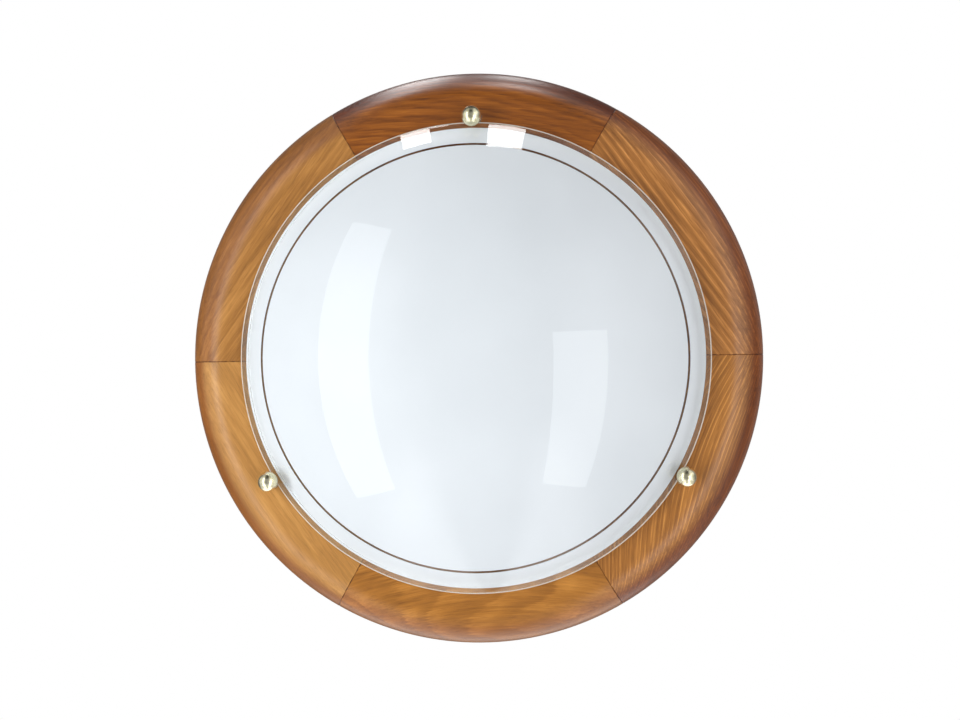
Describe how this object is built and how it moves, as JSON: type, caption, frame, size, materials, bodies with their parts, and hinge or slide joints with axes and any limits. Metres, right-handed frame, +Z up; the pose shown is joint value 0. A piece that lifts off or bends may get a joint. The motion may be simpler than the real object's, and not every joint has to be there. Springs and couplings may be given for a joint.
{
  "type": "flush wall and ceiling light",
  "caption": "Round flush light: a shallow glass dome, white inside with a clear line near its edge, clamped on a segmented wooden ring by brass ball knobs, with its lamps behind.",
  "frame": {"origin": "centre of the wall screw pattern, in the plane of the back, which lies on the wall", "axes": "+Y into the wall, so the dome faces -Y; +Z up, with one knob at the top; +X to the right as seen from in front"},
  "size_m": [0.367, 0.0941, 0.367],
  "materials": {
    "ring_wood": "stained, satin lacquer",
    "clear_glass": "clear, polished, ground edge",
    "white_enamel": "white, glossy through the glass",
    "pale_brass": "pale, brushed",
    "clear_silicone": "clear, soft",
    "plated_steel": "zinc plated",
    "white_steel": "white powder coat",
    "grey_rubber": "matt",
    "lamp_ceramic": "glazed",
    "contact_brass": "bright",
    "bulb_glass": "opal, satin",
    "bulb_cap_metal": "bright",
    "black_vitrite": "glossy",
    "terminal_plastic": "satin",
    "brown_insulation": "satin",
    "blue_insulation": "satin",
    "earth_insulation": "green with a yellow stripe"
  },
  "bodies": {
    "root": {"ring_segment_top": "ring_wood", "ring_segment_upper_left": "ring_wood", "ring_segment_lower_left": "ring_wood", "ring_segment_bottom": "ring_wood", "ring_segment_lower_right": "ring_wood", "ring_segment_upper_right": "ring_wood", "glass_seat_bushes": "clear_silicone", "knob_studs": "plated_steel", "stud_inserts": "contact_brass", "back_pan": "white_steel", "pan_screws": "plated_steel", "cable_grommet": "grey_rubber", "upper_lamp_holder": "lamp_ceramic", "upper_holder_sleeve": "contact_brass", "upper_centre_contact": "contact_brass", "upper_lamp_bracket": "plated_steel", "live_wire_upper": "brown_insulation", "neutral_wire_upper": "blue_insulation", "lower_lamp_holder": "lamp_ceramic", "lower_holder_sleeve": "contact_brass", "lower_centre_contact": "contact_brass", "lower_lamp_bracket": "plated_steel", "live_wire_lower": "brown_insulation", "neutral_wire_lower": "blue_insulation", "holder_screws": "plated_steel", "terminal_block": "terminal_plastic", "terminal_tubes": "contact_brass", "terminal_screws": "plated_steel", "block_screws": "plated_steel", "earth_stud": "plated_steel", "earth_lug": "plated_steel", "earth_nut": "plated_steel", "earth_wire": "earth_insulation"},
    "glass": {"glass_dome": "clear_glass", "white_print": "white_enamel"},
    "knob_washer_top": {"knob_washer_top": "clear_silicone"},
    "knob_top": {"ball_knob_top": "pale_brass"},
    "knob_washer_lower_left": {"knob_washer_lower_left": "clear_silicone"},
    "knob_lower_left": {"ball_knob_lower_left": "pale_brass"},
    "knob_washer_lower_right": {"knob_washer_lower_right": "clear_silicone"},
    "knob_lower_right": {"ball_knob_lower_right": "pale_brass"},
    "upper_bulb_tip": {"upper_bulb_tip": "contact_brass", "upper_bulb_insulator": "black_vitrite"},
    "upper_bulb": {"upper_bulb_glass": "bulb_glass", "upper_bulb_cap": "bulb_cap_metal"},
    "lower_bulb_tip": {"lower_bulb_tip": "contact_brass", "lower_bulb_insulator": "black_vitrite"},
    "lower_bulb": {"lower_bulb_glass": "bulb_glass", "lower_bulb_cap": "bulb_cap_metal"}
  },
  "joints": [
    {"name": "glass_lift", "type": "slide", "parent": "root", "child": "glass", "axis": [0, -1, 0], "range_m": [0, 0.12]},
    {"name": "knob_top_travel", "type": "slide", "parent": "glass", "child": "knob_washer_top", "axis": [0, -1, 0], "range_m": [0, 0.0085]},
    {"name": "knob_top_turn", "type": "hinge", "parent": "knob_washer_top", "child": "knob_top", "pos_m": [0, -0.0441, 0.1535], "axis": [0, -1, 0], "range_deg": [0, 4320]},
    {"name": "knob_lower_left_travel", "type": "slide", "parent": "glass", "child": "knob_washer_lower_left", "axis": [0, -1, 0], "range_m": [0, 0.0085]},
    {"name": "knob_lower_left_turn", "type": "hinge", "parent": "knob_washer_lower_left", "child": "knob_lower_left", "pos_m": [-0.13293, -0.0441, -0.07675], "axis": [0, -1, 0], "range_deg": [0, 4320]},
    {"name": "knob_lower_right_travel", "type": "slide", "parent": "glass", "child": "knob_washer_lower_right", "axis": [0, -1, 0], "range_m": [0, 0.0085]},
    {"name": "knob_lower_right_turn", "type": "hinge", "parent": "knob_washer_lower_right", "child": "knob_lower_right", "pos_m": [0.13293, -0.0441, -0.07675], "axis": [0, -1, 0], "range_deg": [0, 4320]},
    {"name": "upper_bulb_travel", "type": "slide", "parent": "root", "child": "upper_bulb_tip", "axis": [1, 0, 0], "range_m": [0, 0.0237]},
    {"name": "upper_bulb_turn", "type": "hinge", "parent": "upper_bulb_tip", "child": "upper_bulb", "pos_m": [0, -0.04, 0.038], "axis": [1, 0, 0], "range_deg": [0, 2340]},
    {"name": "lower_bulb_travel", "type": "slide", "parent": "root", "child": "lower_bulb_tip", "axis": [-1, 0, 0], "range_m": [0, 0.0237]},
    {"name": "lower_bulb_turn", "type": "hinge", "parent": "lower_bulb_tip", "child": "lower_bulb", "pos_m": [0, -0.04, -0.038], "axis": [-1, 0, 0], "range_deg": [0, 2340]}
  ],
  "couplings": [
    {"joint": "knob_top_travel", "follows": "knob_top_turn", "m_per_rad": 0.00011141},
    {"joint": "knob_lower_left_travel", "follows": "knob_lower_left_turn", "m_per_rad": 0.00011141},
    {"joint": "knob_lower_right_travel", "follows": "knob_lower_right_turn", "m_per_rad": 0.00011141},
    {"joint": "upper_bulb_travel", "follows": "upper_bulb_turn", "m_per_rad": 0.00057773},
    {"joint": "lower_bulb_travel", "follows": "lower_bulb_turn", "m_per_rad": 0.00057773}
  ]
}
